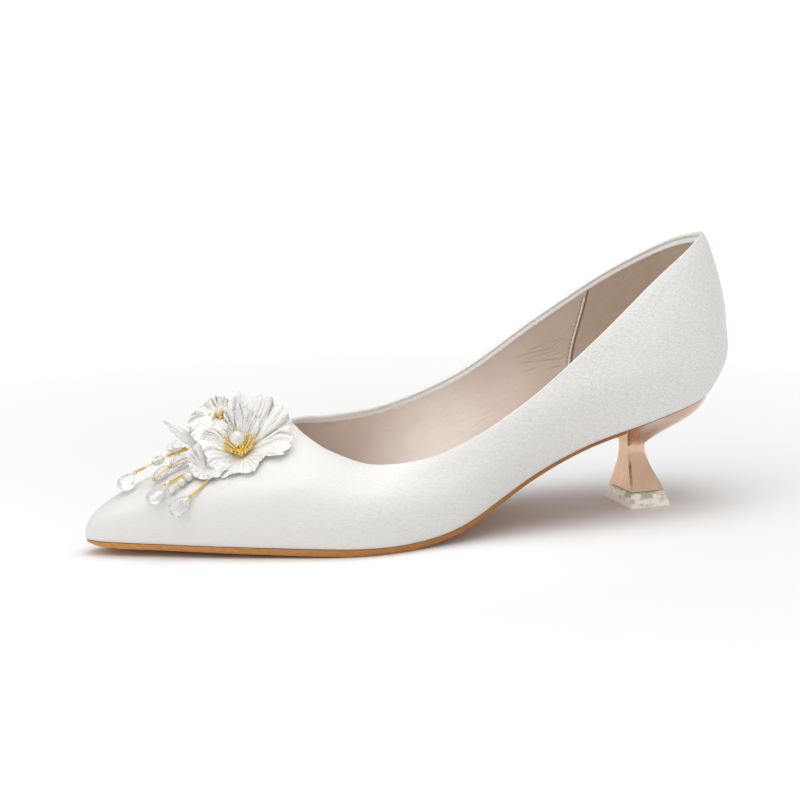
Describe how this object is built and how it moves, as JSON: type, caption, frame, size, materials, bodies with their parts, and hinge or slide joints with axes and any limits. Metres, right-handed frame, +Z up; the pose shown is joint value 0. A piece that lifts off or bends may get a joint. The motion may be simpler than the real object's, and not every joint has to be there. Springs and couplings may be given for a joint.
{
  "type": "high heel shoe",
  "caption": "Ivory satin pointed-toe pump with a low flared rose-gold heel on a clear top piece, and a pleated flower with pearls and clear drops on the vamp.",
  "frame": {"origin": "centre of the shoe's box on the ground plane", "axes": "-X towards the toe, -Y towards the outer side of the foot, +Z up"},
  "size_m": [0.2468, 0.072, 0.0996],
  "materials": {
    "satin": "satin",
    "sole_leather": "smooth",
    "lining": "matte",
    "rose_gold": "polished rose gold",
    "clear_tip": "clear",
    "petal_silk": "pleated",
    "gold": "polished",
    "pearl": "pearl",
    "clear_drop": "clear"
  },
  "bodies": {
    "root": {"upper": "satin", "outsole": "sole_leather", "insole": "lining", "heel": "rose_gold", "top_piece": "clear_tip", "flower_outer": "petal_silk", "flower_inner": "petal_silk", "stamens": "gold", "flower_pearl": "pearl", "rear_petals": "petal_silk", "rear_pearl": "pearl", "rear_bead": "gold", "front_petals": "petal_silk", "leaf": "petal_silk", "wire_ridge": "gold", "wire_middle": "gold", "wire_side": "gold", "drop_ridge": "clear_drop", "drop_middle": "clear_drop", "drop_side": "clear_drop", "bead_clear": "clear_drop", "pearl_front": "pearl", "pearl_rear": "pearl"}
  },
  "joints": []
}
